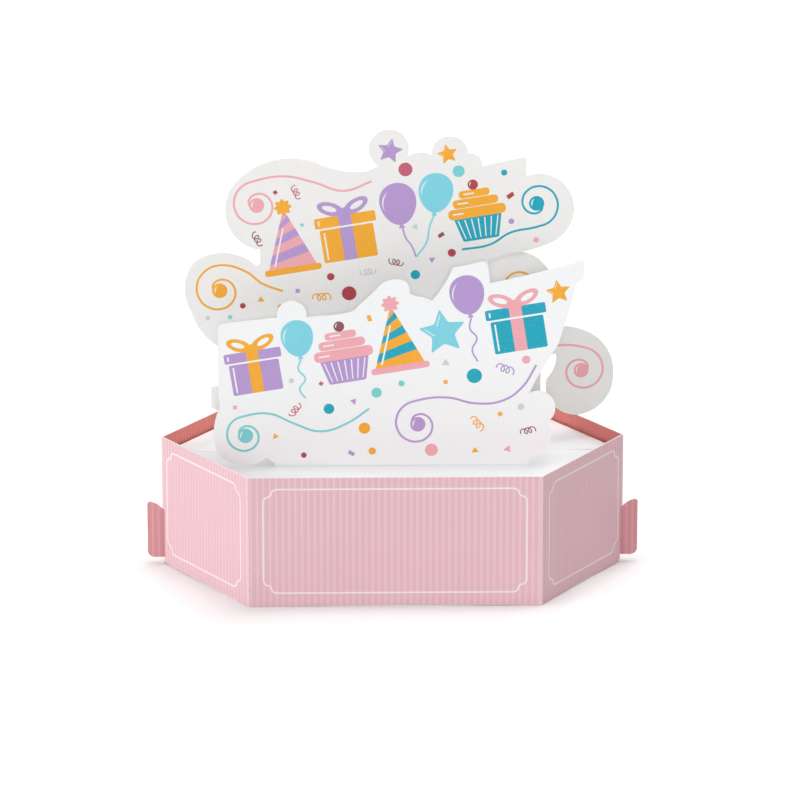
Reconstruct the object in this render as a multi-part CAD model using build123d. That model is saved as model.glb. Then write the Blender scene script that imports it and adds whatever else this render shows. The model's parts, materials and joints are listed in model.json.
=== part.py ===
from build123d import *
import math
import os
from typing import NamedTuple

# Free-standing pop up card: a hexagonal box of folded card with a sunk deck, from which three
# die-cut display sheets stand up one behind the other.
# Millimetres, +Z up, front of the card towards -Y, origin at the centre of the footprint.

# Card stock, scored at its folds: bend_radius on the inside and crease_radius on the outside
card = 0.45
bend_radius = 0.15
crease_radius = 0.2

# Box
full_width = 134.4
front_width = 84.0
full_depth = 79.6
wall_height = 38.7
glue_flap = 12.0
glue_flap_inset = 1.0
seam_gap = 0.3
seam_from_fold = 1.6
foot_relief = 3.0

# Locking tabs and the slits they pass through
tab_reach = 4.35
tab_bottom = 2.0
tab_height = 17.1
tab_drop = 2.2
tab_crown = 0.5
tab_top_round = 0.8
tab_foot_round = 2.0
slit_width = 2.2
slit_clearance = 0.15
spine_clearance = 0.5
spine_drop = 3.0

# Deck
deck_drop = 4.5
deck_gap = 0.2
deck_flap = 10.0

# Display sheets
display_height = 96.0
sheet_pitch = 14.2
base_flap = 8.5
base_leg = 3.0
flap_taper = 2.5

# Bridges between the sheets
bridge_width = 14.0
bridge_flap = 9.0
bridge_apart = 50.0
bridge_height = 26.0

# Worked out from the sizes above
half_width = full_width / 2
half_depth = full_depth / 2
side_run = (full_width - front_width) / 2
side_length = math.hypot(side_run, half_depth)
across_side = side_length / half_depth
deck_top = wall_height - deck_drop

# The display outlines are drawn on a grid of steps across the box and up from the deck, with X from the
# middle of the card and Z from the deck.
grid_steps = (134, 96)
grid_x = full_width / grid_steps[0]
grid_z = display_height / grid_steps[1]


class Cut(NamedTuple):
    """Corner of a die-cut line in grid steps, and how far the cut to the next corner bulges outwards."""

    x: float
    z: float
    bulge: float = 0.0


# Each outline starts where the sheet's neck leaves the deck on the left, runs over the top and ends on the
# right, where it closes along the neck.
middle_outline = [
    Cut(-41.0, 0.0),
    Cut(-41.0, 9.0, 1.2),
    Cut(-51.6, 13.1, 0.4),
    Cut(-52.4, 14.0),
    Cut(-52.4, 19.0, 0.3),
    Cut(-51.8, 19.7),
    Cut(-46.0, 20.6),
    Cut(-46.0, 25.5),
    Cut(-49.4, 31.3, 1.4),
    Cut(-57.8, 42.2, 2.4),
    Cut(-56.8, 57.3, 3.2),
    Cut(-39.2, 55.8),
    Cut(-38.0, 56.4),
    Cut(-38.0, 60.8, 1.2),
    Cut(-46.4, 66.5, 3.2),
    Cut(-42.4, 83.1, 2.7),
    Cut(-22.3, 86.6, -0.9),
    Cut(-9.0, 83.7, -0.3),
    Cut(-4.4, 85.2),
    Cut(-4.3, 85.8, 0.2),
    Cut(-5.8, 87.2, 8.5),
    Cut(4.2, 88.1, 1.0),
    Cut(11.1, 88.6, 5.3),
    Cut(21.6, 89.0, 1.3),
    Cut(25.7, 85.3),
    Cut(37.8, 87.9, 0.1),
    Cut(38.3, 87.4),
    Cut(38.3, 82.2, 1.5),
    Cut(48.4, 80.4, 2.2),
    Cut(51.0, 68.0, 0.9),
    Cut(44.5, 62.1, 0.6),
    Cut(33.0, 59.4, 0.3),
    Cut(27.0, 57.0),
    Cut(27.0, 50.0),
    Cut(35.0, 43.0),
    Cut(35.0, 0.0),
]
front_outline = [
    Cut(-34.2, 0.8),
    Cut(-36.4, 2.6, 0.8),
    Cut(-43.6, 0.4, 2.2),
    Cut(-51.3, 7.5, 0.9),
    Cut(-49.6, 17.8),
    Cut(-50.2, 21.5),
    Cut(-50.2, 41.0, 0.5),
    Cut(-48.6, 42.8),
    Cut(-33.2, 44.6, 4.9),
    Cut(-24.8, 44.6),
    Cut(-20.8, 45.0, -0.3),
    Cut(-11.6, 46.2),
    Cut(-5.0, 52.6, 1.6),
    Cut(3.4, 55.2, 0.5),
    Cut(4.6, 51.6, -0.3),
    Cut(8.5, 50.4),
    Cut(11.1, 49.3, -0.4),
    Cut(16.6, 58.2, 0.4),
    Cut(18.2, 59.2),
    Cut(25.2, 60.8, 0.5),
    Cut(26.9, 59.6),
    Cut(27.6, 54.4, -0.4),
    Cut(53.8, 61.1, 0.1),
    Cut(54.3, 60.6),
    Cut(54.3, 56.0, 0.2),
    Cut(53.7, 55.3),
    Cut(52.9, 54.9, -0.4),
    Cut(51.9, 52.6, 0.2),
    Cut(46.9, 35.6, -0.4),
    Cut(39.0, 21.6, 5.0),
    Cut(43.9, 12.7, 2.9),
    Cut(40.5, 2.6),
    Cut(39.1, 2.2),
    Cut(39.1, 0.8),
]
rear_outline = [
    Cut(-34.0, 1.8),
    Cut(-34.0, 9.0, 5.0),
    Cut(-41.0, 24.0, 2.6),
    Cut(-38.0, 43.0, 3.6),
    Cut(-24.0, 47.0, 6.4),
    Cut(-4.0, 48.0, 1.4),
    Cut(26.4, 51.4, 5.9),
    Cut(46.2, 48.8, 0.6),
    Cut(46.6, 33.0, 0.6),
    Cut(55.2, 32.2, 3.0),
    Cut(64.6, 18.2, 2.9),
    Cut(54.6, 6.2, 3.7),
    Cut(45.2, 17.2, -0.5),
    Cut(48.0, 23.0),
    Cut(47.8, 25.0),
    Cut(43.4, 23.4),
    Cut(43.4, 5.0, 0.7),
    Cut(41.0, 1.8),
]


def outline(cuts):
    """Outline of a display sheet from the deck up, as a face."""
    corners = [(cut.x * grid_x, deck_top + cut.z * grid_z) for cut in cuts]
    edges = []
    for cut, start, end in zip(cuts, corners, corners[1:] + corners[:1]):
        if cut.bulge:
            edges.append(SagittaArc(start, end, cut.bulge * grid_x))
        else:
            edges.append(Line(start, end))
    return make_face(edges)


def neck(cuts):
    """Middle and length of the stretch along which a display sheet meets the deck."""
    left = cuts[0].x * grid_x
    right = cuts[-1].x * grid_x
    return (left + right) / 2, right - left


def upright(sketch, y):
    """Card standing in the plane Y = y, with the sketch as its shape."""
    return Pos(0, y, 0) * extrude(Plane.XZ * sketch, card / 2, both=True)


def channel(width, leg, length):
    """Strip folded to a channel that is open upwards, as long as length along X.

    Its web lies on Z = 0 and its legs rise at both ends of width, from Y = 0 on.
    """
    inside = width - 2 * card
    profile = Pos(width / 2, leg / 2) * Rectangle(width, leg)
    profile = fillet(profile.vertices().group_by(Axis.Y)[0], crease_radius)
    hollow = Pos(width / 2, card + leg / 2) * Rectangle(inside, leg)
    hollow = fillet(hollow.vertices().group_by(Axis.Y)[0], bend_radius)
    return extrude(Plane.YZ * (profile - hollow), length / 2, both=True)


def angle_strip(width, leg, length):
    """Strip folded to a right angle: flat on Z = 0 along +Y, with its leg rising at Y = 0."""
    profile = Pos(width / 2, leg / 2) * Rectangle(width, leg)
    profile = fillet(profile.vertices().group_by(Axis.X)[0].sort_by(Axis.Y)[0], crease_radius)
    hollow = Pos(card + width / 2, card + leg / 2) * Rectangle(width, leg)
    hollow = fillet(hollow.vertices().group_by(Axis.X)[0].sort_by(Axis.Y)[0], bend_radius)
    return extrude(Plane.YZ * (profile - hollow), length / 2, both=True)


def hexagon():
    """Outline of the box seen from above, with sharp corners."""
    corners = [
        (-front_width / 2, -half_depth),
        (front_width / 2, -half_depth),
        (half_width, 0),
        (front_width / 2, half_depth),
        (-front_width / 2, half_depth),
        (-half_width, 0),
    ]
    return make_face(Polyline(*corners, close=True))


def box_band():
    """Strip of card folded into the hexagonal wall, with its glue flap, seam, slits and foot reliefs."""
    outside = hexagon()
    inside = offset(hexagon(), -card, kind=Kind.INTERSECTION)
    outside = fillet(outside.vertices(), crease_radius)
    inside = fillet(inside.vertices(), bend_radius)
    band = extrude(outside - inside, wall_height)

    # On the back left panel, X runs from the back fold along the panel and Y into the box.
    panel_turn = math.degrees(math.atan2(-half_depth, -side_run))
    panel = Pos(-front_width / 2, half_depth, 0) * Rot(0, 0, panel_turn)
    flap_height = wall_height - 2 * glue_flap_inset
    flap = Box(glue_flap, card, flap_height, align=(Align.MIN, Align.MIN, Align.MIN))
    band += panel * Pos(crease_radius, card, glue_flap_inset) * flap
    seam = Box(seam_gap, card, wall_height, align=(Align.MIN, Align.MIN, Align.MIN))
    band -= panel * Pos(crease_radius + seam_from_fold, 0, 0) * seam

    slit_end = tab_bottom + tab_height - tab_drop + slit_clearance - slit_width / 2
    slit = Pos(0, slit_end / 2) * Rectangle(slit_width, slit_end)
    slit += Pos(0, slit_end) * Circle(slit_width / 2)
    slit = extrude(Plane.YZ * slit, tab_reach, both=True)
    relief = Box(foot_relief, full_depth, foot_relief, align=(Align.MIN, Align.CENTER, Align.MIN))
    rounding = Pos(foot_relief, 0, foot_relief) * Rot(90, 0, 0) * Cylinder(foot_relief, full_depth)
    relief -= rounding
    for side in (0, 180):
        band -= Rot(0, 0, side) * Pos(-half_width, 0, 0) * slit
        band -= Rot(0, 0, side) * Pos(-half_width, 0, 0) * relief
    return band


def deck_half():
    """Front half of the deck: a trapezoid with glue flaps bent down at the front wall and at the spine."""
    front_edge = -half_depth + card
    run = -card / 2 - front_edge
    folded = Pos(0, front_edge, deck_top) * mirror(channel(run, deck_flap, full_width), about=Plane.XY)
    side_gap = (2 * card + deck_gap) * across_side
    corners = [
        (-front_width / 2 + side_gap, -half_depth),
        (front_width / 2 - side_gap, -half_depth),
        (half_width - side_gap, 0),
        (-half_width + side_gap, 0),
    ]
    plan = extrude(make_face(Polyline(*corners, close=True)), wall_height)
    return folded & plan


def spine():
    """Shape of the middle sheet under the deck: the spine with a locking tab at either end."""
    top = deck_top - spine_drop
    end = half_width - card * across_side - spine_clearance
    tab_end = half_width + tab_reach
    tab_top = tab_bottom + tab_height
    shoulder = tab_top - tab_drop
    reach = Pos(0, (tab_bottom + shoulder) / 2) * Rectangle(2 * half_width, shoulder - tab_bottom)
    wall = Pos(0, (tab_bottom + top) / 2) * Rectangle(2 * end, top - tab_bottom)
    hook = make_face([
        Polyline((half_width, shoulder), (half_width, tab_bottom), (tab_end, tab_bottom), (tab_end, tab_top)),
        SagittaArc((tab_end, tab_top), (half_width, shoulder), -tab_crown),
    ])
    hook = fillet(hook.vertices().group_by(Axis.X)[-1].sort_by(Axis.Y)[0], tab_foot_round)
    hook = fillet(hook.vertices().group_by(Axis.X)[-1].sort_by(Axis.Y)[-1], tab_top_round)
    return wall + reach + hook + mirror(hook, about=Plane.YZ)


def spine_sheet():
    """Middle display sheet in one piece with the spine and its locking tabs."""
    middle, length = neck(middle_outline)
    rise = deck_top - tab_bottom
    passage = Pos(middle, deck_top - rise / 2) * Rectangle(length, rise)
    return upright(outline(middle_outline) + passage + spine(), 0)


def front_display(cuts):
    """Display sheet in the plane of the front one, with its base flap bent back onto the deck."""
    middle, length = neck(cuts)
    foot = angle_strip(base_flap, base_leg, length)
    free_corners = foot.edges().filter_by(Axis.Z).group_by(Axis.Y)[-1]
    foot = chamfer(free_corners, flap_taper)
    return upright(outline(cuts), -sheet_pitch) + Pos(middle, -sheet_pitch - card / 2, deck_top) * foot


def bridge():
    """Folded strip that spans from one display sheet to the next, with both flaps up."""
    strip = channel(sheet_pitch - card, bridge_flap, bridge_width)
    free_corners = strip.edges().filter_by(Axis.Y).group_by(Axis.Z)[-1]
    return chamfer(free_corners, flap_taper)


def save(shape, node):
    """Writes one piece, which is one solid, under its own name."""
    export_step(shape.solid(), f"parts/{node}.step")


os.makedirs("parts", exist_ok=True)
save(box_band(), "box_band")
save(deck_half(), "deck_front")
save(Rot(0, 0, 180) * deck_half(), "deck_rear")
save(spine_sheet(), "spine_sheet")
save(front_display(front_outline), "front_sheet")
save(mirror(front_display(rear_outline), about=Plane.XZ), "rear_sheet")
for hand, side in (("left", -1), ("right", 1)):
    across = side * bridge_apart / 2
    up = deck_top + bridge_height
    save(Pos(across, -sheet_pitch + card / 2, up) * bridge(), f"bridge_front_{hand}")
    save(Pos(across, card / 2, up) * bridge(), f"bridge_rear_{hand}")
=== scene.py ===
"""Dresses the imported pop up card: striped box, printed display sheets, white card and a plain studio."""
import sys

import json
import logging
import math
import random
from abc import ABC, abstractmethod
from collections.abc import Callable, Iterable, Iterator, Sequence
from dataclasses import dataclass
from enum import Enum, IntEnum

import bmesh
import bpy
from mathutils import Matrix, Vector
from mathutils.geometry import delaunay_2d_cdt
from mathutils.kdtree import KDTree

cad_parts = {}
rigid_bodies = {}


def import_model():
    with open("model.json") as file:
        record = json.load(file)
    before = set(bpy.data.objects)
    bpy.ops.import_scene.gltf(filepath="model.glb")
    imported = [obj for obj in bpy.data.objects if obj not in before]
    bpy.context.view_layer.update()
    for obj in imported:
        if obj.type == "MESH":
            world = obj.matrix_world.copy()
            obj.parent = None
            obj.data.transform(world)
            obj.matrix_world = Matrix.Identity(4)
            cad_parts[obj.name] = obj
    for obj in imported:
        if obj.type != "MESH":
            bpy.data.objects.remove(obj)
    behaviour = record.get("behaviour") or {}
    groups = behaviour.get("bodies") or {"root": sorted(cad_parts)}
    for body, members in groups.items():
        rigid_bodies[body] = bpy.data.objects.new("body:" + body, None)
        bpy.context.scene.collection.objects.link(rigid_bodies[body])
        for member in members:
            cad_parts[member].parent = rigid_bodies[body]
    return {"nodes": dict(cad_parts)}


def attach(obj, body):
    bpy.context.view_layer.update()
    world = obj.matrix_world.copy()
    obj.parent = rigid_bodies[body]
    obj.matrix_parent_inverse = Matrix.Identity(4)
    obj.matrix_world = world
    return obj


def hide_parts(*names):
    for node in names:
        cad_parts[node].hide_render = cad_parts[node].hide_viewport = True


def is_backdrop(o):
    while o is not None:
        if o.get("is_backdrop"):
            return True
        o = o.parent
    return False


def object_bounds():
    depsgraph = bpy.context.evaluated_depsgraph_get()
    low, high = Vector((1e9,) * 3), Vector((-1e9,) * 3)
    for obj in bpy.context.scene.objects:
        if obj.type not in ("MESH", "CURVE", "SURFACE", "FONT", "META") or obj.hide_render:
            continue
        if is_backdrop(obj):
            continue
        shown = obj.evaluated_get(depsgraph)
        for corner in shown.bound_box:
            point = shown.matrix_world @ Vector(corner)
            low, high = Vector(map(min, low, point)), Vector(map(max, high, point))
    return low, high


Point = tuple[float, float]
Outline = list[Point]
Span = tuple[float, float]
Paint = tuple[int, int, int]
Colour = tuple[float, float, float, float]
Face = bmesh.types.BMFace

LOG = logging.getLogger("pop_up_card")
MM = 0.001
PANEL_UV = "panel"
WHITE = (255, 255, 255)
FINE = 3.0  # octaves of a fine noise pattern
SAME_WAY = 0.9999  # cosine from which two directions count as the same


def linear(paint: Paint) -> Colour:
    """Turns an sRGB colour into the linear colour that shaders take.

    Args:
        paint: Red, green and blue from 0 to 255.

    Returns:
        Linear red, green and blue, and an alpha of 1.
    """
    red, green, blue = (share / 12.92 if share <= 0.04045 else ((share + 0.055) / 1.055) ** 2.4
                        for share in (value / 255 for value in paint))
    return red, green, blue, 1.0


def add_object(name: str, data: bpy.types.ID) -> bpy.types.Object:
    """Adds an object to the scene, at the origin.

    Args:
        name: Name of the object.
        data: Its mesh, curve, camera or light.

    Returns:
        The object.
    """
    added = bpy.data.objects.new(name, data)
    bpy.context.scene.collection.objects.link(added)
    return added


def flat_mesh(name: str, faces: Sequence[Outline]) -> bpy.types.Mesh:
    """Makes a mesh with one flat face for each outline.

    Args:
        name: Name of the mesh.
        faces: Outlines of its faces, at height 0.

    Returns:
        The mesh.
    """
    corners = [(x, y, 0) for face in faces for x, y in face]
    numbers = iter(range(len(corners)))
    mesh = bpy.data.meshes.new(name)
    mesh.from_pydata(corners, [], [[next(numbers) for _ in face] for face in faces])
    return mesh


class Ink(Enum):
    """Printing inks of the card, as sRGB colours; PAPER is the card left bare."""

    PAPER = (245, 247, 248)
    PINK = (240, 170, 178)
    ORANGE = (246, 172, 40)
    PURPLE = (182, 152, 209)
    TEAL = (4, 166, 190)
    SKY = (126, 212, 228)
    AQUA = (120, 210, 212)
    ROSE = (196, 92, 116)
    MAROON = (142, 78, 90)
    RED = (178, 62, 70)
    SILVER = (206, 211, 215)
    PEARL = (239, 226, 231)


CONFETTI_INKS = (Ink.ORANGE, Ink.PURPLE, Ink.TEAL, Ink.AQUA, Ink.PINK, Ink.ROSE, Ink.MAROON, Ink.RED, Ink.SILVER)


# Node graphs


class Wire:
    """Output socket of a node, on which Python arithmetic adds Math nodes."""

    def __init__(self, graph: "Graph", socket: bpy.types.NodeSocket | None) -> None:
        """Wraps one socket of a graph; a closing node has none."""
        self.graph = graph
        self.socket = socket

    def math(self, operation: str, *values: "Wire | float") -> "Wire":
        """Adds a Math node that works on the given values in their order."""
        return self.graph.node("ShaderNodeMath", dict(enumerate(values)), {"operation": operation})

    def __add__(self, other: "Wire | float") -> "Wire":
        """Sum."""
        return self.math("ADD", self, other)

    __radd__ = __add__

    def __sub__(self, other: "Wire | float") -> "Wire":
        """Difference."""
        return self.math("SUBTRACT", self, other)

    def __rsub__(self, other: float) -> "Wire":
        """Difference from a number."""
        return self.math("SUBTRACT", other, self)

    def __mul__(self, other: "Wire | float") -> "Wire":
        """Product."""
        return self.math("MULTIPLY", self, other)

    __rmul__ = __mul__

    def __truediv__(self, other: "Wire | float") -> "Wire":
        """Quotient."""
        return self.math("DIVIDE", self, other)

    def __abs__(self) -> "Wire":
        """Size without sign."""
        return self.math("ABSOLUTE", self)

    def fraction(self) -> "Wire":
        """Part after the decimal point."""
        return self.math("FRACT", self)

    def least(self, other: "Wire | float") -> "Wire":
        """Smaller of two values."""
        return self.math("MINIMUM", self, other)

    def most(self, other: "Wire | float") -> "Wire":
        """Larger of two values."""
        return self.math("MAXIMUM", self, other)

    def step(self, low: float, high: float) -> "Wire":
        """Smooth step from 0 at low to 1 at high."""
        inputs = {"Value": self, "From Min": low, "From Max": high}
        return self.graph.node("ShaderNodeMapRange", inputs, {"interpolation_type": "SMOOTHSTEP"})


class Graph:
    """Node tree that is filled node by node."""

    def __init__(self, tree: bpy.types.NodeTree) -> None:
        """Empties the tree."""
        self.tree = tree
        self.tree.nodes.clear()

    def node(self, kind: str, inputs: dict[str | int, object] | None = None,
             settings: dict[str, object] | None = None, output: str | int = 0) -> Wire:
        """Adds one node.

        Args:
            kind: Type of the node.
            inputs: Values or wires for its sockets, by name or number.
            settings: Its own properties, which are set first.
            output: Name or number of the output socket to hand back.

        Returns:
            The wire of that output.
        """
        node = self.tree.nodes.new(kind)
        for key, value in (settings or {}).items():
            setattr(node, key, value)
        for key, value in (inputs or {}).items():
            if isinstance(value, Wire):
                self.tree.links.new(value.socket, node.inputs[key])
            else:
                node.inputs[key].default_value = value
        return Wire(self, node.outputs[output] if node.outputs else None)


@dataclass(frozen=True)
class Sheen:
    """How a surface shines: roughness and its spread, specular level, and depth in metres and share of its relief."""

    roughness: float
    spread: float
    specular: float
    depth: float
    relief: float


class Shader(Graph):
    """Node tree of one material or world."""

    def __init__(self, owner: bpy.types.Material | bpy.types.World) -> None:
        """Starts the tree of a new material or world.

        Args:
            owner: The material or world.
        """
        owner.use_nodes = True
        super().__init__(owner.node_tree)
        self.owner = owner

    @classmethod
    def material(cls, name: str) -> "Shader":
        """Starts an empty material of that name."""
        return cls(bpy.data.materials.new(name))

    def place(self) -> Wire:
        """Object coordinates in metres."""
        return self.node("ShaderNodeTexCoord", output="Object")

    def axis(self, vector: Wire, name: str) -> Wire:
        """One coordinate of a vector."""
        return self.node("ShaderNodeSeparateXYZ", {0: vector}, output=name)

    def ray(self, kind: str) -> Wire:
        """Says whether the light path is of a kind, such as Is Camera Ray."""
        return self.node("ShaderNodeLightPath", output=kind)

    def noise(self, size: float, stretch: tuple[float, float, float] = (1, 1, 1), detail: float = 2.0) -> Wire:
        """Adds a noise pattern on object coordinates.

        Args:
            size: Size of its features in metres.
            stretch: How much finer the pattern is along each axis.
            detail: Number of finer octaves.

        Returns:
            The pattern, from 0 to 1.
        """
        scaled = self.node("ShaderNodeVectorMath", {0: self.place(), 1: [axis / size for axis in stretch]},
                           {"operation": "MULTIPLY"})
        return self.node("ShaderNodeTexNoise", {"Vector": scaled, "Scale": 1.0, "Detail": detail})

    def blend(self, share: Wire | float, first: Wire | Colour, second: Wire | Colour, mode: str = "MIX") -> Wire:
        """Mixes two colours, with a share of the second one, in a blend mode of the Mix node."""
        settings = {"data_type": "RGBA", "blend_type": mode}
        return self.node("ShaderNodeMix", {0: share, 6: first, 7: second}, settings, output=2)

    def toned(self, colour: Wire | Colour, *patterns: tuple[Wire, float]) -> Wire:
        """Lightens and darkens a colour by patterns.

        Args:
            colour: The colour.
            *patterns: Patterns of 0 to 1, each with the spread that it gives.

        Returns:
            The toned colour.
        """
        tone: Wire | float = 1.0
        for pattern, spread in patterns:
            tone = tone + (pattern - 0.5) * spread
        return self.blend(1.0, colour, tone, "MULTIPLY")

    def surface(self, colour: Wire, grain: Wire, height: Wire, sheen: Sheen) -> bpy.types.Material:
        """Closes the tree with a Principled shader.

        Args:
            colour: Base colour.
            grain: Pattern of 0 to 1 that the roughness follows.
            height: Pattern that the bump follows.
            sheen: How the surface shines.

        Returns:
            The finished material.
        """
        normal = self.node("ShaderNodeBump", {"Height": height, "Distance": sheen.depth, "Strength": sheen.relief})
        inputs = {"Base Color": colour, "Roughness": sheen.roughness + (grain - 0.5) * sheen.spread,
                  "Normal": normal, "Specular IOR Level": sheen.specular}
        return self.close(self.node("ShaderNodeBsdfPrincipled", inputs))

    def close(self, shader: Wire, kind: str = "ShaderNodeOutputMaterial") -> bpy.types.Material | bpy.types.World:
        """Links a shader to an output node and gives what the tree belongs to."""
        self.node(kind, {"Surface": shader})
        return self.owner


# Finishes, with lengths in metres


@dataclass(frozen=True)
class CardFinish:
    """Smooth uncoated white card with faint fibres."""

    name: str = "white card"
    colour: Paint = Ink.PAPER.value
    fibre: float = 0.0005
    fibre_draw: float = 0.25
    fibre_tone: float = 0.035
    cloud: float = 0.007
    cloud_tone: float = 0.02
    sheen: Sheen = Sheen(0.56, 0.14, 0.3, 0.00002, 0.25)

    def build(self) -> bpy.types.Material:
        """Makes the material.

        Returns:
            The finished material.
        """
        graph = Shader.material(self.name)
        along = graph.noise(self.fibre, (self.fibre_draw, 1, 1), FINE)
        across = graph.noise(self.fibre, (1, 1, self.fibre_draw), FINE)
        colour = graph.toned(linear(self.colour), (along, self.fibre_tone), (across, self.fibre_tone),
                             (graph.noise(self.cloud), self.cloud_tone))
        return graph.surface(colour, along, along + across, self.sheen)


@dataclass(frozen=True)
class CutEdgeFinish:
    """White core of the card where the die has cut it, layered along the sheet."""

    name: str = "cut edge"
    colour: Paint = (243, 240, 238)
    layer: float = 0.00012
    layer_tone: float = 0.1
    drift: float = 0.00288
    drift_tone: float = 0.05
    sheen: Sheen = Sheen(0.7, 0.2, 0.25, 0.00003, 0.4)

    def build(self) -> bpy.types.Material:
        """Makes the material.

        Returns:
            The finished material.
        """
        graph = Shader.material(self.name)
        ragged = graph.noise(self.layer, detail=FINE)
        colour = graph.toned(linear(self.colour), (ragged, self.layer_tone),
                             (graph.noise(self.drift), self.drift_tone))
        return graph.surface(colour, ragged, ragged, self.sheen)


@dataclass(frozen=True)
class InkFinish:
    """Offset ink on white card, with paper grain showing through."""

    ink: Ink
    grain: float = 0.00028
    grain_tone: float = 0.09
    drift: float = 0.006
    drift_tone: float = 0.06
    pinhole: float = 0.28
    pinhole_grain: Span = (0.62, 0.74)
    sheen: Sheen = Sheen(0.44, 0.16, 0.35, 0.00002, 0.2)

    def build(self) -> bpy.types.Material:
        """Makes the material.

        Returns:
            The finished material.
        """
        graph = Shader.material(f"ink {self.ink.name.lower()}")
        grain = graph.noise(self.grain, detail=FINE)
        colour = graph.toned(linear(self.ink.value), (grain, self.grain_tone),
                             (graph.noise(self.drift), self.drift_tone))
        bare = grain.step(*self.pinhole_grain) * self.pinhole
        return graph.surface(graph.blend(bare, colour, linear(Ink.PAPER.value)), grain, grain, self.sheen)


@dataclass(frozen=True)
class PinstripeFinish:
    """Card printed with fine upright stripes, worn white along its folds.

    The panel's UV map counts the stripes from its two folds, and widths are shares of a stripe.
    """

    name: str
    ground: Paint
    line: Paint
    worn: Paint = (247, 230, 233)
    line_width: float = 0.27
    line_soft: float = 0.1
    wear: float = 0.6
    wear_reach: Span = (0.084, 0.28)
    wear_least: float = 0.45
    crack: float = 0.000544
    crack_draw: float = 0.5
    crack_grain: Span = (0.3, 0.6)
    grain: float = 0.00034
    grain_tone: float = 0.08
    cloud: float = 0.012
    cloud_tone: float = 0.04
    sheen: Sheen = Sheen(0.5, 0.16, 0.3, 0.00002, 0.3)

    def build(self) -> bpy.types.Material:
        """Makes the material.

        Returns:
            The finished material.
        """
        graph = Shader.material(self.name)
        uv = graph.node("ShaderNodeUVMap", settings={"uv_map": PANEL_UV})
        from_left, from_right = graph.axis(uv, "X"), graph.axis(uv, "Y")
        half = self.line_width / 2
        on_line = 1 - abs(from_left.fraction() - 0.5).step(half - self.line_soft, half + self.line_soft)
        grain = graph.noise(self.grain, detail=FINE)
        colour = graph.blend(on_line, linear(self.ground), linear(self.line))
        colour = graph.toned(colour, (grain, self.grain_tone), (graph.noise(self.cloud), self.cloud_tone))
        near_fold = 1 - from_left.least(from_right).step(*self.wear_reach)
        cracked = graph.noise(self.crack, (1, 1, self.crack_draw), FINE).step(*self.crack_grain)
        bare = near_fold * (self.wear_least + cracked * (1 - self.wear_least)) * self.wear
        colour = graph.blend(bare, colour, linear(self.worn))
        return graph.surface(colour, grain, grain + near_fold * cracked, self.sheen)


@dataclass(frozen=True)
class FloorFinish:
    """White studio floor whose camera-ray glow is dimmed near the box's foot, as painted shade, and full further out.
    """

    name: str = "studio floor"
    colour: Paint = (247, 247, 247)
    front: float = 0.0398
    side: float = 0.0568
    side_normal: Point = (0.845, 0.535)
    reach: float = 0.022
    lift: float = 0.16
    painted_foot_shade: Colour = (0.2, 0.2, 0.2, 1.0)

    def build(self) -> bpy.types.Material:
        """Makes the material: matte white, lifted to white where the camera sees it away from the box, and lifted less
        near the box, which paints shade at its foot.

        Returns:
            The finished material.
        """
        graph = Shader.material(self.name)
        matte = graph.node("ShaderNodeBsdfDiffuse", {"Color": linear(self.colour)})
        across, deep = (abs(graph.axis(graph.place(), name)) for name in ("X", "Y"))
        off_side = across * self.side_normal[0] + deep * self.side_normal[1] - self.side
        # Painted light and shade: the glow is dim near the box's foot and full further out, where it hides the lamps'
        # long shadows.
        away = off_side.most(deep - self.front).step(0, self.reach)
        strength = (graph.ray("Is Camera Ray") + graph.ray("Is Glossy Ray")) * self.lift
        colour = graph.blend(away, self.painted_foot_shade, linear(WHITE))
        glow = graph.node("ShaderNodeEmission", {"Color": colour, "Strength": strength})
        return graph.close(graph.node("ShaderNodeAddShader", {0: matte, 1: glow}))


# Flat drawing, in millimetres on a sheet or in units of a motif's own height


def polar(centre: Point, radius: float, degrees: float) -> Point:
    """Point at a distance and an angle from a centre."""
    angle = math.radians(degrees)
    return centre[0] + radius * math.cos(angle), centre[1] + radius * math.sin(angle)


def arc(centre: Point, radius: float, start: float, end: float, steps: int = 8) -> Outline:
    """Points along an arc from a start to an end in degrees, both among them, with steps chords between."""
    return [polar(centre, radius, start + (end - start) * step / steps) for step in range(steps + 1)]


def turned(points: Iterable[Point], degrees: float, centre: Point) -> Outline:
    """Turns points about the origin and then moves the origin to a centre."""
    cos, sin = math.cos(math.radians(degrees)), math.sin(math.radians(degrees))
    return [(centre[0] + x * cos - y * sin, centre[1] + x * sin + y * cos) for x, y in points]


def ellipse(centre: Point, across: float, up: float, turn: float = 0.0, steps: int = 32) -> Outline:
    """Closed ellipse with half axes across and up, turned by turn degrees."""
    ring = arc((0, 0), 1.0, 0, 360, steps)[:-1]
    return turned([(across * x, up * y) for x, y in ring], turn, centre)


def rounded(corners: Sequence[Point], cut: float, steps: int = 4) -> Outline:
    """Rounds the corners of a closed outline.

    Args:
        corners: Corners in order.
        cut: How far from each corner its rounding starts.
        steps: Number of chords in each rounding.

    Returns:
        The outline with a curve at each corner.
    """
    points: Outline = []
    for before, corner, after in zip([corners[-1], *corners[:-1]], corners, [*corners[1:], corners[0]]):
        here = Vector(corner)
        start = here + (Vector(before) - here).normalized() * cut
        end = here + (Vector(after) - here).normalized() * cut
        for share in (step / steps for step in range(steps + 1)):
            point = start * (1 - share) ** 2 + here * (2 * share * (1 - share)) + end * share ** 2
            points.append((point.x, point.y))
    return points


def block(left: float, bottom: float, right: float, top: float, cut: float = 0.03) -> Outline:
    """Upright rectangle with rounded corners."""
    return rounded([(left, bottom), (right, bottom), (right, top), (left, top)], cut)


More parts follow.
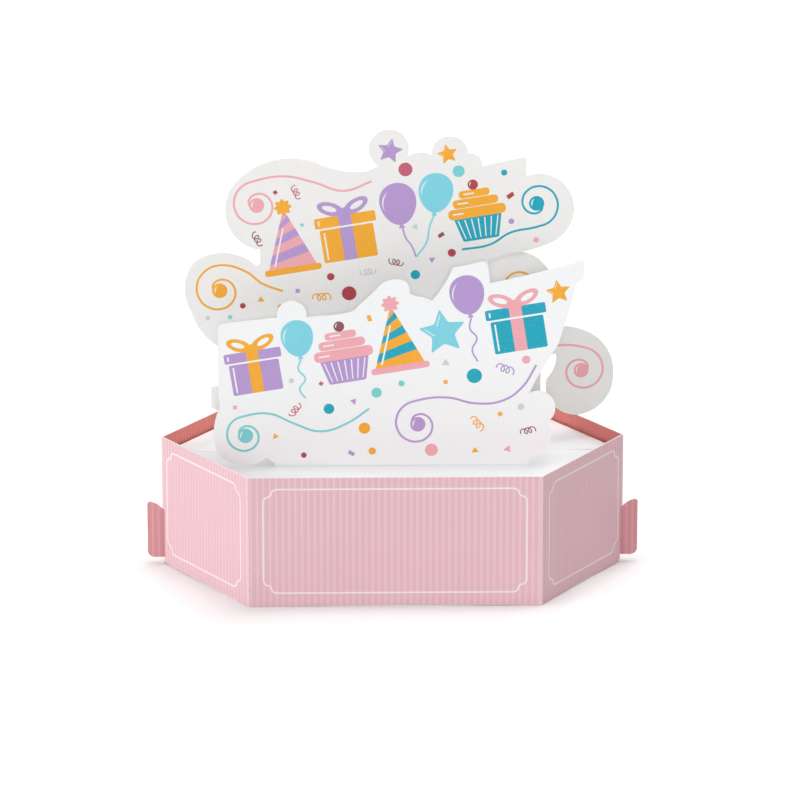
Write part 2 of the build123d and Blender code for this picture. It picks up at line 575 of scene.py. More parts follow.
def crescent(centre: Point, radius: float, thick: float, start: float, end: float, steps: int = 14) -> Outline:
    """Draws a thin sickle along an arc, pointed at both ends.

    Args:
        centre: Centre of the arc.
        radius: Radius of its outer side.
        thick: Thickness in its middle.
        start: Angle of the first tip in degrees.
        end: Angle of the last tip in degrees.
        steps: Number of chords on each side.

    Returns:
        The closed outline.
    """
    outer = arc(centre, radius, start, end, steps)
    inner = []
    for step, (x, y) in enumerate(outer):
        share = 1 - thick / radius * math.sin(math.pi * step / steps)
        inner.append((centre[0] + (x - centre[0]) * share, centre[1] + (y - centre[1]) * share))
    return outer + inner[-2:0:-1]


def spaced(ring: Outline, gap: float = 0.5) -> Iterator[Point]:
    """Gives points along a closed outline, no further apart than about the gap.

    Args:
        ring: The outline.
        gap: Distance from point to point.

    Returns:
        One point after the other.
    """
    for start, end in zip(ring, ring[1:] + ring[:1]):
        steps = max(1, round(math.dist(start, end) / gap))
        for share in (step / steps for step in range(steps)):
            yield start[0] + (end[0] - start[0]) * share, start[1] + (end[1] - start[1]) * share


def inside(point: Point, ring: Outline) -> bool:
    """Says whether a point lies inside a closed outline.

    Args:
        point: The point.
        ring: The outline.

    Returns:
        True where the point lies inside.
    """
    x, z = point
    hit = False
    for (x0, z0), (x1, z1) in zip(ring, ring[1:] + ring[:1]):
        if (z0 > z) != (z1 > z) and x < x0 + (z - z0) * (x1 - x0) / (z1 - z0):
            hit = not hit
    return hit


@dataclass(frozen=True)
class Mark:
    """Closed flat shape of one ink."""

    ink: Ink
    outline: Outline


@dataclass(frozen=True)
class Stroke:
    """Line of one ink through points, in millimetres. An open one is smooth, and a closed one has corners."""

    ink: Ink
    points: Outline
    width: float = 0.62
    closed: bool = False
    taper: float = 0.0


class Motif(ABC):
    """Party picture drawn on its own height: base at 0, top near 1, middle at 0."""

    @abstractmethod
    def shapes(self) -> Iterator[Mark]:
        """Gives the marks from the bottom one to the top one."""


@dataclass(frozen=True)
class Gift(Motif):
    """Wrapped box with a lid, a ribbon and a bow."""

    wrap: Ink
    ribbon: Ink

    def shapes(self) -> Iterator[Mark]:
        """Gives box, lid, ribbon and bow.

        Returns:
            The marks from the bottom one to the top one.
        """
        for left, bottom, right, top in ((-0.42, 0.0, 0.42, 0.53), (-0.48, 0.56, 0.48, 0.73)):
            yield Mark(self.wrap, block(left, bottom, right, top))
            yield Mark(self.ribbon, [(-0.1, bottom), (0.1, bottom), (0.1, top), (-0.1, top)])
            yield Mark(Ink.PAPER, block(left + 0.055, bottom + 0.045, left + 0.08, top - 0.045, 0.008))
        for side in (-1, 1):
            yield Mark(self.ribbon, ellipse((side * 0.2, 0.85), 0.215, 0.105, side * 24))
            yield Mark(Ink.PAPER, ellipse((side * 0.215, 0.857), 0.115, 0.045, side * 24))
        yield Mark(self.ribbon, ellipse((0, 0.775), 0.075, 0.07))


@dataclass(frozen=True)
class Balloon(Motif):
    """Round balloon with its knot."""

    skin: Ink

    def shapes(self) -> Iterator[Mark]:
        """Gives knot, balloon and a highlight along its left side.

        Returns:
            The marks from the bottom one to the top one.
        """
        yield Mark(self.skin, rounded([(-0.075, -0.075), (0.075, -0.075), (0, 0.06)], 0.02))
        yield Mark(self.skin, [(x * (0.84 + 0.12 * y), 0.5 + y * 0.5) for x, y in ellipse((0, 0), 0.5, 1.0)])
        yield Mark(Ink.PAPER, crescent((-0.02, 0.53), 0.34, 0.03, 120, 205))


@dataclass(frozen=True)
class Cupcake(Motif):
    """Cupcake in a pleated wrapper, with piled icing and a cherry."""

    wrapper: Ink
    icing: Ink
    cherry: Ink

    def shapes(self) -> Iterator[Mark]:
        """Gives wrapper, pleats, icing and cherry.

        Returns:
            The marks from the bottom one to the top one.
        """
        foot, brim, rim = 0.29, 0.39, 0.4
        yield Mark(self.wrapper, rounded([(-foot, 0), (foot, 0), (brim, rim), (-brim, rim)], 0.03))
        for share in (pleat / 3.6 for pleat in range(-3, 4)):
            low, high = foot * share, brim * share
            yield Mark(Ink.PAPER, [(low - 0.008, 0.04), (low + 0.008, 0.04), (high + 0.01, 0.36), (high - 0.01, 0.36)])
        for half, bottom, top in ((0.47, 0.385, 0.555), (0.37, 0.565, 0.71), (0.25, 0.72, 0.845)):
            yield Mark(self.icing, block(-half, bottom, half, top, (top - bottom) * 0.49))
            middle = (bottom + top) / 2
            yield Mark(Ink.PAPER, block(-half + 0.075, middle - 0.01, -half + 0.25, middle + 0.014, 0.01))
        yield Mark(self.cherry, ellipse((0, 0.925), 0.085, 0.085))
        yield Mark(Ink.PAPER, crescent((0, 0.925), 0.058, 0.016, 110, 200))


@dataclass(frozen=True)
class PartyHat(Motif):
    """Pointed paper hat with slanted bands, a brim and a pompom."""

    cone: Ink
    bands: Ink
    trim: Ink
    half: float = 0.33
    foot: float = 0.05
    tip: float = 0.88
    slant: float = 0.11

    def side(self, height: float) -> float:
        """Half width of the cone at a height."""
        return self.half * (self.tip - height) / (self.tip - self.foot)

    def shapes(self) -> Iterator[Mark]:
        """Gives cone, bands, brim, pompom and a highlight down the left side.

        Returns:
            The marks from the bottom one to the top one.
        """
        yield Mark(self.cone, [(-self.half, self.foot), (self.half, self.foot), (0, self.tip)])
        for low, high in ((0.15, 0.27), (0.39, 0.49), (0.6, 0.68)):
            left = [(-self.side(height), height) for height in (high, low)]
            right = [(self.side(height), height) for height in (low + self.slant, high + self.slant)]
            yield Mark(self.bands, left + right)
        highlight = ((0.12, 0.06), (0.12, 0.084), (0.62, 0.07), (0.62, 0.05))
        yield Mark(Ink.PAPER, [(inset - self.side(height), height) for height, inset in highlight])
        yield Mark(self.trim, block(-self.half - 0.045, 0.0, self.half + 0.045, 0.085, 0.04))
        yield Mark(self.trim, [polar((0, self.tip + 0.02), 0.1 + 0.016 * math.cos(math.radians(8 * turn)), turn)
                               for turn in range(0, 360, 6)])


@dataclass(frozen=True)
class Star(Motif):
    """Five-pointed star with soft tips."""

    ink: Ink
    outer: float = 0.52
    inner: float = 0.25

    def ring(self, scale: float) -> Outline:
        """Corners of the star, scaled about its middle."""
        return [polar((0, 0.5), (self.inner if corner % 2 else self.outer) * scale, 90 + 36 * corner)
                for corner in range(10)]

    def shapes(self) -> Iterator[Mark]:
        """Gives the star and a highlight inside its left arms.

        Returns:
            The marks from the bottom one to the top one.
        """
        yield Mark(self.ink, rounded(self.ring(1.0), 0.05))
        far, near = self.ring(0.76), self.ring(0.69)
        for tip in (1, 3):
            yield Mark(Ink.PAPER, [far[tip - 1], far[tip], near[tip], near[tip - 1]])


@dataclass(frozen=True)
class Placed:
    """A motif set on a sheet, in millimetres."""

    motif: Motif
    x: float
    base: float
    height: float
    tilt: float = 9.0

    def marks(self) -> Iterator[Mark]:
        """Sets the motif's marks on the sheet.

        Returns:
            The marks from the bottom one to the top one.
        """
        for mark in self.motif.shapes():
            scaled = [(u * self.height, v * self.height) for u, v in mark.outline]
            yield Mark(mark.ink, turned(scaled, self.tilt, (self.x, self.base)))


class Hand(Enum):
    """Way in which a scroll winds outwards, seen from the front."""

    LEFT = 1
    RIGHT = -1


@dataclass(frozen=True)
class Scroll:
    """Line that winds out of a ball and runs off along a tail, in millimetres."""

    ink: Ink
    centre: Point
    reach: float
    turns: float
    start: float
    hand: Hand
    tail: tuple[Point, ...]
    ball: float = 2.2
    line_from: float = 1.76
    winding: float = 0.85
    steps_a_turn: int = 10
    taper: float = 0.12

    def marks(self) -> Iterator[Mark]:
        """Gives the ball and its highlight."""
        yield Mark(self.ink, ellipse(self.centre, self.ball, self.ball))
        yield Mark(Ink.PAPER, crescent(self.centre, self.ball * 0.7, self.ball * 0.16, 115, 215))

    def stroke(self) -> Stroke:
        """Draws the line, which starts on the ball and thins out at the end of the tail.

        Returns:
            The line.
        """
        steps = round(self.turns * self.steps_a_turn)
        points = []
        for share in (step / steps for step in range(steps + 1)):
            radius = self.line_from + (self.reach - self.line_from) * share ** self.winding
            points.append(polar(self.centre, radius, self.start + self.hand.value * 360 * self.turns * share))
        return Stroke(self.ink, points + list(self.tail), taper=self.taper)


# Node trees for what repeats or follows a path


class GeometryTree(Graph):
    """Geometry node tree with named inputs, run on a helper object and turned into a plain mesh."""

    def __init__(self, name: str, inputs: dict[str, str]) -> None:
        """Starts the tree.

        Args:
            name: Name of the tree.
            inputs: Socket type of each named input after the geometry.
        """
        super().__init__(bpy.data.node_groups.new(name, "GeometryNodeTree"))
        sockets = self.tree.interface
        sockets.new_socket("Geometry", in_out="INPUT", socket_type="NodeSocketGeometry")
        self.keys = {key: sockets.new_socket(key, in_out="INPUT", socket_type=kind).identifier
                     for key, kind in inputs.items()}
        sockets.new_socket("Geometry", in_out="OUTPUT", socket_type="NodeSocketGeometry")

    def given(self, name: str) -> Wire:
        """Wire of a named input."""
        return self.node("NodeGroupInput", output=name)

    def close(self, geometry: Wire) -> None:
        """Ends the tree in real geometry with its ink.

        Args:
            geometry: What the tree has made.
        """
        real = self.node("GeometryNodeRealizeInstances", {"Geometry": geometry})
        inked = self.node("GeometryNodeSetMaterial", {"Geometry": real, "Material": self.given("Ink")})
        self.node("NodeGroupOutput", {0: inked})

    def run(self, data: bpy.types.ID, values: dict[str, object]) -> list[Outline]:
        """Runs the tree on a curve or a mesh.

        Args:
            data: Curve or mesh to start from, which is used up.
            values: Values of the named inputs.

        Returns:
            The outline of each face that the tree made.
        """
        helper = add_object("helper", data)
        modifier = helper.modifiers.new("tree", "NODES")
        modifier.node_group = self.tree
        for key, value in values.items():
            modifier[self.keys[key]] = value
        graph = bpy.context.evaluated_depsgraph_get()
        mesh = bpy.data.meshes.new_from_object(helper.evaluated_get(graph))
        helper.modifiers.remove(modifier)
        faces = [[tuple(mesh.vertices[corner].co.xy) for corner in face.vertices] for face in mesh.polygons]
        bpy.data.objects.remove(helper)
        bpy.data.meshes.remove(mesh)
        return faces


class StrokeTree(GeometryTree):
    """Draws a curve as a flat line of even width that may thin out at its end."""

    end_share = 0.3
    least_taper = 1e-4
    resolution = 5

    def __init__(self) -> None:
        """Builds the tree."""
        super().__init__("inked stroke", {"Width": "NodeSocketFloat", "Taper": "NodeSocketFloat",
                                          "Ink": "NodeSocketMaterial"})
        flat = self.node("GeometryNodeSetCurveNormal", {"Curve": self.given("Geometry")}, {"mode": "Z_UP"})
        along = self.node("GeometryNodeSplineParameter", output="Factor")
        full = ((1 - along) / self.given("Taper")).least(1.0)
        radius = full * (1 - self.end_share) + self.end_share
        thin = self.node("GeometryNodeSetCurveRadius", {"Curve": flat, "Radius": radius})
        half = self.given("Width") * 0.5
        start = self.node("ShaderNodeCombineXYZ", {"X": half * -1})
        end = self.node("ShaderNodeCombineXYZ", {"X": half})
        nib = self.node("GeometryNodeCurvePrimitiveLine", {"Start": start, "End": end})
        self.close(self.node("GeometryNodeCurveToMesh", {"Curve": thin, "Profile Curve": nib}))

    def draw(self, stroke: Stroke, ink: bpy.types.Material) -> list[Outline]:
        """Draws one stroke.

        Args:
            stroke: The stroke.
            ink: Material of its ink.

        Returns:
            The outline of each face.
        """
        data = bpy.data.curves.new("stroke", "CURVE")
        data.dimensions = "3D"
        data.resolution_u = self.resolution
        spline = data.splines.new("POLY" if stroke.closed else "BEZIER")
        spline.use_cyclic_u = stroke.closed
        knots = spline.points if stroke.closed else spline.bezier_points
        knots.add(len(stroke.points) - 1)
        for knot, (x, y) in zip(knots, stroke.points):
            knot.co = (x, y, 0, 1) if stroke.closed else (x, y, 0)
            if not stroke.closed:
                knot.handle_left_type = knot.handle_right_type = "AUTO"
        return self.run(data, {"Width": stroke.width, "Taper": max(stroke.taper, self.least_taper), "Ink": ink})


class Confetto(Enum):
    """Kinds of confetti in the order of their stencils, with how often each is thrown and its sizes."""

    DOT = (9, 1.6, 4.4)
    TRIANGLE = (4, 1.7, 2.3)
    CHIP = (2, 2.0, 2.6)
    SQUARE = (2, 1.0, 1.3)
    STREAMER = (7, 3.6, 4.6)

    def __init__(self, weight: int, least: float, most: float) -> None:
        """Names the weight and the least and largest size in millimetres."""
        self.weight, self.least, self.most = weight, least, most


@dataclass(frozen=True)
class Scrap:
    """One piece of confetti on a sheet: its size is its width in millimetres."""

    kind: Confetto
    ink: Ink
    place: Point
    size: float
    turn: float


class ConfettiTree(GeometryTree):
    """Sets stencils on points, each with its own kind, size and turn. Stencils are about 1 wide."""

    streamer_line = 0.085
    streamer_taper = 0.2

    def __init__(self, strokes: StrokeTree, ink: bpy.types.Material) -> None:
        """Builds the stencils and the tree.

        Args:
            strokes: Tree that draws the streamer.
            ink: Any ink, for the streamer's stencil.
        """
        super().__init__("confetti", {"Stencils": "NodeSocketCollection", "Ink": "NodeSocketMaterial"})
        self.stencils = bpy.data.collections.new("stencils")
        shapes = {
            Confetto.DOT: [ellipse((0, 0), 0.5, 0.5, steps=28)],
            Confetto.TRIANGLE: [rounded([(-0.5, -0.36), (0.5, -0.36), (0.08, 0.5)], 0.05)],
            Confetto.CHIP: [[(-0.5, -0.2), (0.42, -0.3), (0.5, 0.26), (-0.4, 0.32)]],
            Confetto.SQUARE: [[(-0.5, -0.5), (0.5, -0.5), (0.5, 0.5), (-0.5, 0.5)]],
            Confetto.STREAMER: strokes.draw(
                Stroke(Ink.PINK, self.coil(), self.streamer_line, taper=self.streamer_taper), ink),
        }
        for number, kind in enumerate(Confetto):
            name = f"stencil_{number}"
            self.stencils.objects.link(bpy.data.objects.new(name, flat_mesh(name, shapes[kind])))
        stencils = self.node("GeometryNodeCollectionInfo", {
            "Collection": self.given("Stencils"), "Separate Children": True, "Reset Children": True})
        turn = self.node("ShaderNodeCombineXYZ", {"Z": self.named("turn", "FLOAT")})
        points = self.node("GeometryNodeMeshToPoints", {"Mesh": self.given("Geometry")})
        self.close(self.node("GeometryNodeInstanceOnPoints", {
            "Points": points, "Instance": stencils, "Pick Instance": True,
            "Instance Index": self.named("kind", "INT"), "Scale": self.named("size", "FLOAT"),
            "Rotation": self.node("FunctionNodeEulerToRotation", {0: turn})}))

    @staticmethod
    def coil(start: float = -0.42, drift: Point = (0.3, -0.1), loop: Point = (-0.17, 0.22),
             steps: int = 28, steps_a_turn: int = 10) -> Outline:
        """Draws a streamer as loops that drift to the right and down with each turn.

        Args:
            start: Where the first loop's middle lies across.
            drift: How far the loops move with each turn, across and up.
            loop: Half a loop's size across and up; a negative size across winds it to the left.
            steps: Number of chords.
            steps_a_turn: Number of chords in one turn.

        Returns:
            Points along the streamer.
        """
        turns = [step / steps_a_turn for step in range(steps + 1)]
        return [(start + drift[0] * turn + loop[0] * math.sin(math.tau * turn),
                 drift[1] * turn + loop[1] * math.cos(math.tau * turn)) for turn in turns]

    def named(self, name: str, kind: str) -> Wire:
        """Wire of a named attribute."""
        return self.node("GeometryNodeInputNamedAttribute", {"Name": name}, {"data_type": kind}, "Attribute")

    def scatter(self, scraps: Sequence[Scrap], ink: bpy.types.Material) -> list[Outline]:
        """Sets scraps that share one ink.

        Args:
            scraps: The scraps.
            ink: Material of their ink.

        Returns:
            The outline of each face.
        """
        mesh = bpy.data.meshes.new("scraps")
        mesh.from_pydata([(*scrap.place, 0) for scrap in scraps], [], [])
        kinds = list(Confetto)
        columns = {"kind": ("INT", [kinds.index(scrap.kind) for scrap in scraps]),
                   "turn": ("FLOAT", [scrap.turn for scrap in scraps]),
                   "size": ("FLOAT", [scrap.size for scrap in scraps])}
        for name, (kind, column) in columns.items():
            mesh.attributes.new(name, kind, "POINT").data.foreach_set("value", column)
        return self.run(mesh, {"Stencils": self.stencils, "Ink": ink})

    def discard(self) -> None:
        """Removes the stencils once everything is printed."""
        for stencil in list(self.stencils.objects):
            bpy.data.objects.remove(stencil)
        bpy.data.collections.remove(self.stencils)


class PrintShop:
    """Keeps one finish for each ink and turns strokes and confetti into marks."""

    def __init__(self) -> None:
        """Mixes the inks and builds the node trees."""
        self.inks = {ink: InkFinish(ink).build() for ink in Ink if ink is not Ink.PAPER}
        self.strokes = StrokeTree()
        self.confetti = ConfettiTree(self.strokes, self.inks[Ink.PINK])

    def drawn(self, strokes: Iterable[Stroke]) -> list[Mark]:
        """Gives the marks of strokes."""
        return [Mark(stroke.ink, face) for stroke in strokes
                for face in self.strokes.draw(stroke, self.inks[stroke.ink])]

    def scattered(self, scraps: Sequence[Scrap]) -> list[Mark]:
        """Turns confetti into marks, one ink after the other.

        Args:
            scraps: The confetti.

        Returns:
            The marks.
        """
        marks = []
        for ink, material in self.inks.items():
            same = [scrap for scrap in scraps if scrap.ink is ink]
            if same:
                marks += [Mark(ink, face) for face in self.confetti.scatter(same, material)]
        return marks


# Meshes


@dataclass(frozen=True)
class Side:
    """Flat side of a piece, with its own axes for printing: u to the right and v up, seen from outside."""

    normal: Vector
    offset: float
    slack: float = 2e-5

    @property
    def right(self) -> Vector:
        """Direction to the right on the side."""
        return Vector((0, 0, 1)).cross(self.normal)

    def holds(self, face: Face) -> bool:
        """Says whether a face lies in this side."""
        facing = face.normal.dot(self.normal) > SAME_WAY
        return facing and abs(face.verts[0].co.dot(self.normal) - self.offset) < self.slack

    def flat(self, place: Vector) -> Point:
        """Place on the side in millimetres."""
        return place.dot(self.right) / MM, place.z / MM

    def solid(self, point: Point) -> Vector:
        """Place in the model of a point on the side."""
        return self.normal * self.offset + self.right * (point[0] * MM) + Vector((0, 0, point[1] * MM))


def area(faces: Iterable[Face]) -> float:
    """Area of several faces."""
    return sum(face.calc_area() for face in faces)


class Shell:
    """Merged copy of a CAD node's mesh that is printed and dressed face by face. Lengths are in metres."""

    merge = 1e-6
    bend = math.radians(40)
    panel_area = 2e-5
    panel_level = 0.99995
    print_merge = 1e-4
    triangles_inside = 1

    def __init__(self, node: bpy.types.Object) -> None:
        """Copies and merges the node's mesh.

        Args:
            node: The CAD node.
        """
        self.mesh = bmesh.new()
        self.mesh.from_mesh(node.data)
        bmesh.ops.remove_doubles(self.mesh, verts=self.mesh.verts, dist=self.merge)
        self.mesh.normal_update()

    @staticmethod
    def stretches(faces: Iterable[Face], alike: Callable[[Face, Face], bool]) -> Iterator[list[Face]]:
        """Parts faces into connected stretches.

        Args:
            faces: Faces to part.
            alike: Says whether a face may join the stretch that started from another.

        Returns:
            The faces of one stretch after the other.
        """
        left = dict.fromkeys(faces)
        while left:
            first, _ = left.popitem()
            queue, stretch = [first], []
            while queue:
                face = queue.pop()
                stretch.append(face)
                for other in (other for edge in face.edges for other in edge.link_faces):
                    if other in left and alike(first, other):
                        del left[other]
                        queue.append(other)
            yield stretch

    def island(self, side: Side, slot: int) -> list[Face]:
        """Gives the largest connected stretch of faces of one material slot in a side."""
        bare = [face for face in self.mesh.faces if face.material_index == slot and side.holds(face)]
        return max(self.stretches(bare, lambda first, other: True), key=area)

    def panels(self) -> set[Face]:
        """Finds the flat stretches that are too large to be part of a bend.

        Returns:
            Their faces.
        """
        flat = self.stretches(self.mesh.faces,
                              lambda first, other: other.normal.dot(first.normal) > self.panel_level)
        return {face for stretch in flat if area(stretch) > self.panel_area for face in stretch}

    @staticmethod
    def rim(island: Sequence[Face]) -> list[bmesh.types.BMVert]:
        """Finds the corners around an island of faces.

        Args:
            island: Connected faces.

        Returns:
            The corners in order.
        """
        held = set(island)
        after = {}
        for face in island:
            for loop in face.loops:
                if sum(other in held for other in loop.edge.link_faces) == 1:
                    after[loop.vert] = loop.link_loop_next.vert
        ring = [next(iter(after))]
        while after[ring[-1]] is not ring[0]:
            ring.append(after[ring[-1]])
        return ring

    def imprint(self, side: Side, marks: Sequence[Mark], slots: dict[Ink, int], ground: int) -> None:
        """Cuts flat marks into a side, so that the print lies flush in the card.

        Args:
            side: Side to print on.
            marks: Marks from the bottom one to the top one.
            slots: Material slot of each ink.
            ground: Material slot of the bare side.
        """
        island = self.island(side, ground)
        ring = self.rim(island)
        points = [Vector(side.flat(vert.co)) for vert in ring]
        faces = [list(range(len(ring)))]
        for mark in marks:
            faces.append(list(range(len(points), len(points) + len(mark.outline))))
            points += [Vector(point) for point in mark.outline]
        spots, _, pieces, from_points, _, from_faces = delaunay_2d_cdt(
            points, [], faces, self.triangles_inside, self.print_merge, True)
        bmesh.ops.delete(self.mesh, geom=island, context="FACES_ONLY")
        verts = []
        for spot, sources in zip(spots, from_points):
            kept = [source for source in sources if source < len(ring)]
            verts.append(ring[kept[0]] if kept else self.mesh.verts.new(side.solid(spot)))
        for piece, sources in zip(pieces, from_faces):
            if 0 in sources:
                face = self.mesh.faces.new([verts[number] for number in piece])
                top = marks[max(sources) - 1].ink if max(sources) else Ink.PAPER
                face.material_index = slots.get(top, ground)
        loose = [edge for edge in self.mesh.edges if not edge.link_faces]
        bmesh.ops.delete(self.mesh, geom=loose, context="EDGES")
        self.mesh.normal_update()

    def normals(self) -> list[Vector]:
        """Works out a normal for each face corner: panels stay flat, and bends run round into them.

        Returns:
            The normals in the order of the faces' corners.
        """
        panels = self.panels()
        normals = []
        for face in self.mesh.faces:
            for loop in face.loops:
                normal = face.normal
                if face not in panels:
                    near = [other for other in loop.vert.link_faces
                            if other.normal.angle(face.normal, math.pi) < self.bend]
                    flat = [other.normal for other in near if other in panels]
                    total = sum((other.normal * other.calc_area() for other in near), Vector())
                    normal = flat[0] if flat else total.normalized()
                normals.append(normal.copy())
        return normals

    def piece(self, name: str, materials: Sequence[bpy.types.Material]) -> bpy.types.Object:
        """Turns the shell into a finished piece.

        Args:
            name: Name of the piece.
            materials: Materials in the order of the faces' slots.

        Returns:
            The piece, linked to the scene at the origin.
        """
        self.mesh.faces.index_update()
        normals = self.normals()
        data = bpy.data.meshes.new(name)
        for material in materials:
            data.materials.append(material)
        self.mesh.to_mesh(data)
        self.mesh.free()
        data.shade_smooth()
        data.normals_split_custom_set(normals)
        LOG.info("%s: %d faces in %d materials", name, len(data.polygons), len(data.materials))
        return add_object(name, data)


# Sub-assemblies, with lengths in millimetres


class WallSlot(IntEnum):
    """Material slots of the box wall."""

    OUTSIDE = 0
    INSIDE = 1
    EDGE = 2
    FRAME = 3


@dataclass
class StripedBox:
    """Hexagonal box wall: pinstripes on both sides, with painted shade inside, and a notched white frame on each
    panel.
    """

    node: bpy.types.Object
    outside: PinstripeFinish = PinstripeFinish("pink pinstripes", (226, 183, 190), (233, 198, 204))
    # The inside stripes are a deeper coral than the outside ones: painted shade and pink bounce light inside the box.
    inside: PinstripeFinish = PinstripeFinish("coral pinstripes", (233, 129, 122), (238, 145, 138), wear=0.4)
    front_stripes: int = 46
    side_stripes: int = 29
    frame_ink: Ink = Ink.PEARL
    frame_front: float = 4.4
    frame_fold: float = 3.9
    frame_slit: float = 2.9
    frame_top: float = 3.4
    frame_bottom: float = 4.2
    frame_line: float = 0.5
    notch_round: float = 1.75
    notch_step: float = 0.45
    panel_count: int = 6
    panel_facing: float = 0.8
    upright: float = 0.01
    foot_bow: float = 0.4
    bow_steps: int = 8
    wall_reach: float = 0.7

    def sides(self, shell: Shell) -> list[Side]:
        """Finds the outer panels, in order round the box.

        Args:
            shell: Shell of the box wall.

        Returns:
            The side of each panel.
        """
        areas: dict[Point, float] = {}
        found: dict[Point, Side] = {}
        for face in shell.mesh.faces:
            key = round(face.normal.x, 2), round(face.normal.y, 2)
            offset = face.verts[0].co.dot(face.normal)
            if abs(face.normal.z) < self.upright and offset > 0:
                areas[key] = areas.get(key, 0) + face.calc_area()
                if key not in found or offset >= found[key].offset:
                    found[key] = Side(face.normal.copy(), offset)
        large = sorted(areas, key=areas.get, reverse=True)[:self.panel_count]
        return sorted((found[key] for key in large), key=lambda side: math.atan2(side.normal.y, side.normal.x))

    @staticmethod
    def corner(first: Side, second: Side) -> Vector:
        """Works out the sharp corner where two panels would meet.

        Args:
            first: One panel.
            second: The next panel.

        Returns:
            The corner's place, at height 0.
        """
        a, b = first.normal, second.normal
        turn = a.x * b.y - a.y * b.x
        x = (first.offset * b.y - second.offset * a.y) / turn
        y = (second.offset * a.x - first.offset * b.x) / turn
        return Vector((x, y, 0))

    @staticmethod
    def panel_of(face: Face, sides: Sequence[Side]) -> tuple[int, bool, float]:
        """Finds the panel that a face belongs to.

        Args:
            face: Face of the wall.
            sides: The outer panels.

        Returns:
            Number of the panel, whether the face looks outwards, and how squarely it faces as the panel does.
        """
        outward = face.calc_center_median().dot(face.normal) > 0
        facing = [side.normal.dot(face.normal) * (1 if outward else -1) for side in sides]
        number = max(range(len(sides)), key=lambda index: facing[index])
        return number, outward, facing[number]

    def is_wide(self, side: Side) -> bool:
        """Says whether a panel is the front or the back one."""
        return abs(side.normal.y) > self.panel_facing

    def margin(self, side: Side, fold: Vector) -> float:
        """Says how far a panel's frame keeps from one of its folds.

        Args:
            side: The panel.
            fold: Sharp corner at the fold.

        Returns:
            The distance.
        """
        if self.is_wide(side):
            return self.frame_front
        return self.frame_slit if abs(fold.y) < MM else self.frame_fold

    def frame_path(self, left: float, right: float, height: float) -> Outline:
        """Draws the frame of a panel as one closed line, with a stepped double round at each corner.

        Args:
            left: Where the frame's left side is.
            right: Where its right side is.
            height: Height of the panel.

        Returns:
            Points of the line, up from the panel's foot.
        """
        half_wide = (right - left) / 2
        half_high = (height - self.frame_top - self.frame_bottom) / 2
        middle = left + half_wide, self.frame_bottom + half_high
        near, far = self.notch_round, 2 * self.notch_round + self.notch_step
        corner = [point for in_x, in_y in ((near, far), (far, near))
                  for point in arc((half_wide - in_x, half_high - in_y), near, 0, 90)]
        path: Outline = []
        for mirror_x, mirror_y in ((1, 1), (-1, 1), (-1, -1), (1, -1)):
            points = [(middle[0] + x * mirror_x, middle[1] + y * mirror_y) for x, y in corner]
            path += points if mirror_x * mirror_y > 0 else points[::-1]
        return path

    def bow_foot(self, shell: Shell, sides: Sequence[Side], folds: Sequence[Vector]) -> None:
        """Lifts the foot of each panel a little between its folds, because folded card stands on its corners.

        Args:
            shell: Shell of the box wall.
            sides: The outer panels.
            folds: Sharp corner at the start of each panel.
        """
        for number, (side, start, end) in enumerate(zip(sides, folds, [*folds[1:], folds[0]])):
            for step in range(1, self.bow_steps):
                faces = [face for face in shell.mesh.faces if self.panel_of(face, sides)[0] == number]
                parts = dict.fromkeys(part for face in faces for part in (*face.verts, *face.edges, face))
                bmesh.ops.bisect_plane(shell.mesh, geom=list(parts), dist=Shell.merge, plane_no=side.right,
                                       plane_co=start.lerp(end, step / self.bow_steps))
            for vert in shell.mesh.verts:
                share = (vert.co - start).dot(side.right) / (end - start).length
                deep = side.offset - vert.co.dot(side.normal)
                if vert.co.z < Shell.merge and deep < self.wall_reach * MM and 0 < share < 1:
                    vert.co.z = self.foot_bow * MM * 4 * share * (1 - share)

    def build(self, shop: PrintShop, edge: bpy.types.Material) -> bpy.types.Object:
        """Builds the printed box wall.

        Args:
            shop: Print shop that draws the frames.
            edge: Finish of the cut edges.

        Returns:
            The finished piece.
        """
        shell = Shell(self.node)
        sides = self.sides(shell)
        height = max(vert.co.z for vert in shell.mesh.verts) / MM
        for face in shell.mesh.faces:
            _, outward, facing = self.panel_of(face, sides)
            printed = WallSlot.OUTSIDE if outward else WallSlot.INSIDE
            face.material_index = printed if facing > self.panel_facing else WallSlot.EDGE
        folds = [self.corner(sides[number - 1], side) for number, side in enumerate(sides)]
        self.bow_foot(shell, sides, folds)
        spans: list[Span] = []
        for side, start, end in zip(sides, folds, folds[1:] + folds[:1]):
            left, right = start.dot(side.right) / MM, end.dot(side.right) / MM
            path = self.frame_path(left + self.margin(side, start), right - self.margin(side, end), height)
            stroke = Stroke(self.frame_ink, path, self.frame_line, closed=True)
            shell.imprint(side, shop.drawn([stroke]), {self.frame_ink: WallSlot.FRAME}, WallSlot.OUTSIDE)
            spans.append((left, right))
        layer = shell.mesh.loops.layers.uv.new(PANEL_UV)
        for face in shell.mesh.faces:
            number = self.panel_of(face, sides)[0]
            side, (left, right) = sides[number], spans[number]
            count = self.front_stripes if self.is_wide(side) else self.side_stripes
            for loop in face.loops:
                share = (loop.vert.co.dot(side.right) / MM - left) / (right - left)
                loop[layer].uv = share * count, (1 - share) * count
        materials = [self.outside.build(), self.inside.build(), edge, shop.inks[self.frame_ink]]
        return shell.piece("striped_box", materials)


class SheetSlot(IntEnum):
    """Material slots of a printed sheet, before those of its inks."""

    CARD = 0
    EDGE = 1
    SPINE = 2


